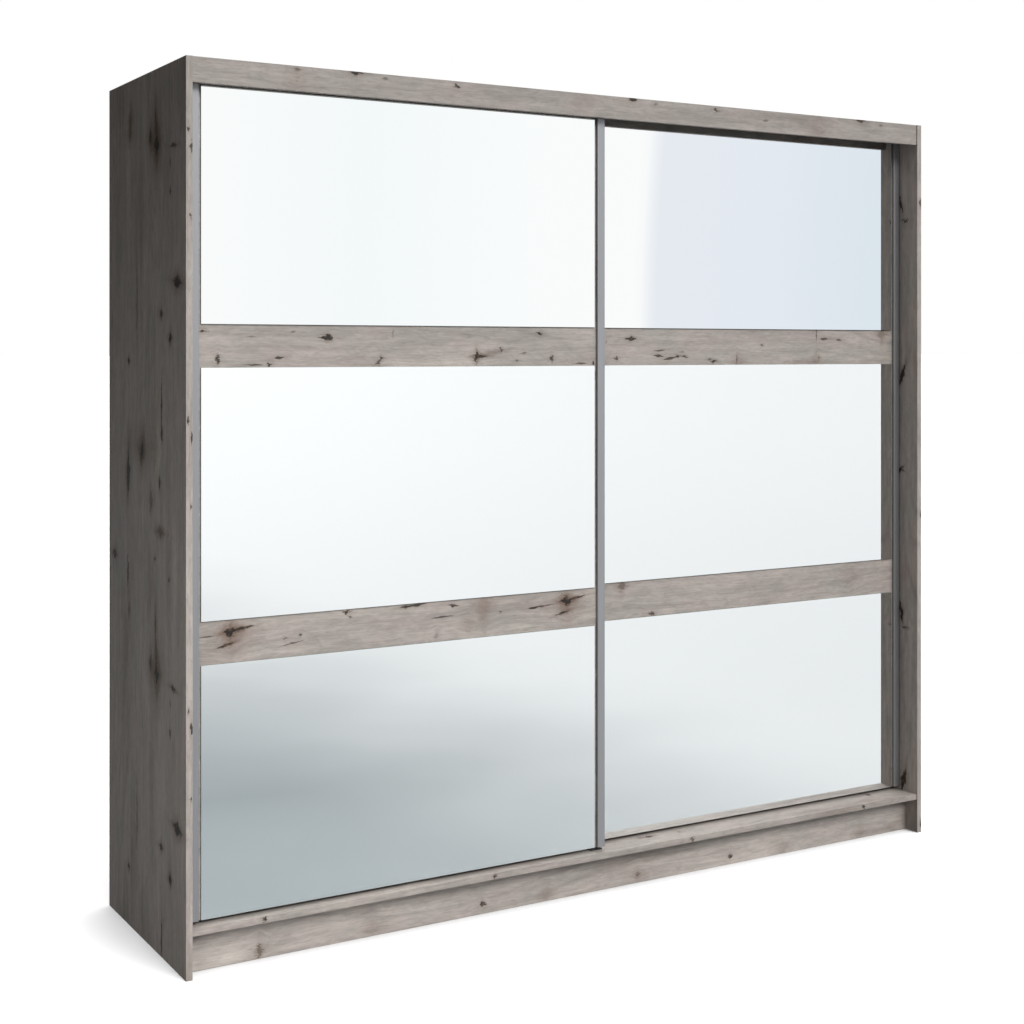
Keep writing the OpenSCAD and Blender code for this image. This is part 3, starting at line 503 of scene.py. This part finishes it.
def make_hardboard():
    """Back sheets: raw brown fibre board behind, a printed pale face inside."""
    made, g, shader = material("hardboard")
    point = object_point(g)
    inside = g.step(g.math("MULTIPLY", normal(g, "Y"), -1.0), 0.4, 0.6)
    fibre = g.noise(point, scale=260.0, detail=4.0, roughness=0.7)
    felt = g.noise(g.scaled(point, 38.0), detail=5.0, roughness=0.65, distortion=1.4)
    raw = g.mix(g.step(felt, 0.3, 0.7), linear(134, 104, 74), linear(160, 129, 96))
    raw = g.scaled(raw, g.step(fibre, 0.25, 0.75, 0.86, 1.12))
    line = g.noise(g.vector("MULTIPLY", point, (240.0, 240.0, 5.0)), detail=4.0, roughness=0.6)
    print_colour = g.scaled(linear(186, 179, 170), g.step(line, 0.25, 0.75, 0.90, 1.08))
    g.put(shader.inputs["Base Color"], g.mix(inside, raw, print_colour))
    g.put(shader.inputs["Roughness"], g.step(fibre, 0.2, 0.8, 0.62, 0.78))
    bump(g, shader, g.math("ADD", g.math("MULTIPLY", fibre, 0.5), felt), 0.0003, 0.5)
    return made


def make_beech():
    """Raw beech with its fibres along x."""
    made, g, shader = material("beech")
    point = g.vector("MULTIPLY", object_point(g), (60.0, 900.0, 900.0))
    line = g.noise(point, detail=3.0)
    colour = g.mix(g.step(line, 0.3, 0.7), linear(198, 163, 118), linear(216, 186, 144))
    g.put(shader.inputs["Base Color"], colour)
    g.put(shader.inputs["Roughness"], g.step(line, 0.3, 0.7, 0.6, 0.7))
    bump(g, shader, line, 0.0002, 0.5)
    return made


mirror = make_mirror()
anodised = make_metal("anodised_aluminium", (0.32, 0.32, 0.33), 0.50, (420, 420, 3), 0.05, metallic=0.6)
track_metal = make_metal("anodised_track", (0.50, 0.50, 0.52), 0.34, (3, 420, 420), 0.05)
zinc = make_metal("zinc_plated_steel", (0.62, 0.62, 0.63), 0.33, (60, 60, 60), 0.05, 0.22)
chrome = make_metal("chrome", (0.78, 0.78, 0.80), 0.07, (25, 25, 25), 0.02, 0.0, 0.00001)
black_plastic = make_plastic("black_plastic", linear(38, 38, 40), 0.45)
white_plastic = make_plastic("white_plastic", linear(226, 225, 220), 0.40)
wheel_plastic = make_plastic("wheel_plastic", linear(214, 213, 206), 0.35)
rubber = make_plastic("rubber", linear(30, 30, 31), 0.75, 500.0, 0.0001)
hardboard = make_hardboard()
beech = make_beech()

BY_SLOT = {"mirror": mirror, "anodised_aluminium": anodised, "zinc_plated_steel": zinc, "chrome": chrome,
           "beech": beech, "black_plastic": black_plastic, "white_plastic": white_plastic,
           "wheel_plastic": wheel_plastic, "rubber": rubber, "hardboard": hardboard}
for name in nodes:
    if slots[name] in BY_SLOT:
        show(name, BY_SLOT[slots[name]])
show("top_track", track_metal)


# ---- Edges ----

EDGE_ROUNDING = {"oak_decor": 0.0006, "mirror": 0.0005, "anodised_aluminium": 0.0005}


def soften(node, width):
    """Joins the split corners of a CAD mesh and rounds its sharp edges a little."""
    piece = nodes[node]
    weld = piece.modifiers.new("weld", "WELD")
    weld.merge_threshold = 0.00002
    edge = piece.modifiers.new("edge", "BEVEL")
    edge.width = width
    edge.segments = 2
    edge.limit_method = "ANGLE"
    edge.angle_limit = math.radians(40)
    edge.use_clamp_overlap = True


for name in nodes:
    if slots[name] in EDGE_ROUNDING:
        soften(name, EDGE_ROUNDING[slots[name]])


# ---- Studio: floor, light, camera ----

# what the mirrors see: painted reflection colours of the floor by distance from the front, and of the world
# by the way's x
ROOM_REACH = 16.0
PAINTED_MIRROR_FLOOR = [(0.3, (0.40, 0.46, 0.48)), (1.3, (0.24, 0.29, 0.31)), (2.2, (0.34, 0.39, 0.41)),
              (5.0, (0.60, 0.63, 0.65)), (9.0, (0.88, 0.90, 0.91)), (ROOM_REACH, (1.05, 1.05, 1.05))]
# dims the painted reflection of the floor that the mirrors see
PAINTED_MIRROR_FLOOR_TONE = 0.43
ROOM_WALL = [(0.33, (1.0, 1.0, 1.0)), (0.43, (0.94, 0.97, 0.98)), (0.52, (0.99, 1.0, 1.0)),
             (0.577, (1.0, 1.0, 1.0)), (0.585, (0.82, 0.85, 0.90)), (0.64, (0.80, 0.84, 0.90)),
             (0.70, (0.73, 0.80, 0.86))]
WHITE = (1.0, 1.0, 1.0)
FLOOR_REACH, FLOOR_LEVEL = 500.0, -0.0005
FILL_PLACE = (left_x - 1.385, front - 1.25, 0.35)

LENS_MM, SENSOR_MM = 56.82, 36.0
CAMERA_SHIFT = (0.0176, -0.1569)
CAMERA_PLACE = (-2.4305, -3.9011, 1.4625)
CAMERA_TURN = -30.15


def place_lamp(name, kind, way, **settings):
    """A lamp that shines along the vector way."""
    lamp = bpy.data.lights.new(name, kind)
    for key, value in settings.items():
        setattr(lamp, key, value)
    holder = bpy.data.objects.new(name, lamp)
    holder.rotation_euler = Vector(way).to_track_quat("-Z", "Y").to_euler()
    bpy.context.scene.collection.objects.link(holder)
    return holder


def link_light(lamp, piece, state):
    """Limits a lamp to one piece (INCLUDE) or to all but that piece (EXCLUDE)."""
    reached = bpy.data.collections.new(lamp.name + "_reach")
    reached.objects.link(piece)
    reached.collection_objects[0].light_linking.link_state = state
    lamp.light_linking.receiver_collection = reached


def make_floor_look():
    """Plain white to the camera, with a painted reflection for mirror rays: a darker, cooler floor tone by
    distance and x. To light that has met a matt surface it is nearly black."""
    made, g, shader = material("studio_floor")
    point = object_point(g)
    cloud = g.noise(point, scale=1.5, detail=2.0)
    plain = g.scaled((0.93, 0.935, 0.94), g.step(cloud, 0.2, 0.8, 0.99, 1.0))
    drift = g.scaled(centred(g, g.noise(point, scale=0.9, colour=True)), 0.9)
    place = g.split(g.vector("ADD", point, drift))
    distance = g.math("MULTIPLY", g.math("SUBTRACT", front, place["Y"]), 1 / ROOM_REACH)
    stops = [(d / ROOM_REACH, tuple(PAINTED_MIRROR_FLOOR_TONE * c for c in colour)) for d, colour in PAINTED_MIRROR_FLOOR]
    # painted reflection: the darker, cooler floor tone that only mirror rays see
    painted_reflection = g.ramp(distance, stops)
    painted_reflection = g.mix(g.step(place["X"], -0.9, 2.0, 0.0, 0.9), painted_reflection, (0.43, 0.44, 0.445))
    path = g.add("LightPath").outputs
    # painted reflection: mirror rays get the painted floor tone, the camera gets the plain white floor
    colour = g.mix(path["Is Glossy Ray"], plain, painted_reflection)
    colour = g.mix(g.math("MINIMUM", path["Diffuse Depth"], 1.0), colour, (0.03, 0.03, 0.03))
    g.put(shader.inputs["Base Color"], colour)
    shader.inputs["Roughness"].default_value = 0.75
    return made


def make_floor():
    """A wide floor just under the wardrobe, with a lamp of its own."""
    quarters = ((-1, -1), (1, -1), (1, 1), (-1, 1))
    corners = [(x * FLOOR_REACH, y * FLOOR_REACH, FLOOR_LEVEL) for x, y in quarters]
    mesh = bpy.data.meshes.new("floor")
    mesh.from_pydata(corners, [], [(0, 1, 2, 3)])
    mesh.materials.append(make_floor_look())
    ground = bpy.data.objects.new("floor", mesh)
    ground.visible_diffuse = False
    bpy.context.scene.collection.objects.link(ground)
    lamp = place_lamp("floor_light", "SUN", (0, 0, -1), energy=3.0, angle=math.radians(60))
    link_light(lamp, ground, "INCLUDE")
    return ground


def make_world():
    """A white studio. It lights from the right, a little from the left front, not from the left rear, and
    less from below. A mirror seen directly shows its left front bright too, and the camera sees it white."""
    world = bpy.data.worlds.new("studio")
    bpy.context.scene.world = world
    world.use_nodes = True
    g = Graph(world.node_tree)
    background = world.node_tree.nodes["Background"]
    way = g.split(g.add("TexCoord").outputs["Generated"])
    path = g.add("LightPath").outputs
    # the world's ray depth counts one more than the mirrors that the ray has met
    first_mirror = g.math("MULTIPLY", path["Is Singular Ray"], g.math("LESS_THAN", path["Ray Depth"], 2.5))
    seen_left = g.math("MULTIPLY", first_mirror, g.step(way["Y"], 0.0, -0.3))
    left = g.math("MAXIMUM", g.step(way["Y"], 0.2, -0.4, 0.0, 0.20), seen_left)
    level = g.mix(g.step(way["X"], -0.10, 0.32), g.join(left, left, left), WHITE)
    level = g.scaled(level, g.step(way["Z"], -0.14, -0.04, 0.35, 1.0))
    wall = g.mix(g.step(way["Y"], 0.1, -0.4), WHITE, g.ramp(way["X"], ROOM_WALL))
    lit = g.vector("MULTIPLY", level, wall)
    g.put(background.inputs["Color"], g.mix(path["Is Camera Ray"], lit, WHITE))
    background.inputs["Strength"].default_value = 1.0


def light_wardrobe(floor):
    """A soft key light from the front and above, a weaker one on the back, and a fill low on the left."""
    place_lamp("key", "SUN", (-0.20, 1.0, -0.80), energy=2.35, angle=math.radians(28))
    back = place_lamp("back", "SUN", (-0.35, -1.0, -0.45), energy=1.1, angle=math.radians(40))
    link_light(back, floor, "EXCLUDE")
    fill = place_lamp("low_left_fill", "AREA", (1.43, 1.0, 0.10), energy=11.0,
                      shape="RECTANGLE", size=1.2, size_y=0.6)
    fill.location = FILL_PLACE
    fill.visible_glossy = False


def place_camera():
    """A level camera that stands at the front left and looks towards the wardrobe's middle."""
    lens = bpy.data.cameras.new("camera")
    lens.lens = LENS_MM
    lens.sensor_width = SENSOR_MM
    lens.shift_x, lens.shift_y = CAMERA_SHIFT
    camera = bpy.data.objects.new("camera", lens)
    camera.location = CAMERA_PLACE
    camera.rotation_euler = (math.radians(90), 0, math.radians(CAMERA_TURN))
    bpy.context.scene.collection.objects.link(camera)
    bpy.context.scene.camera = camera


light_wardrobe(make_floor())
make_world()
place_camera()
bpy.context.scene.view_settings.view_transform = "Standard"
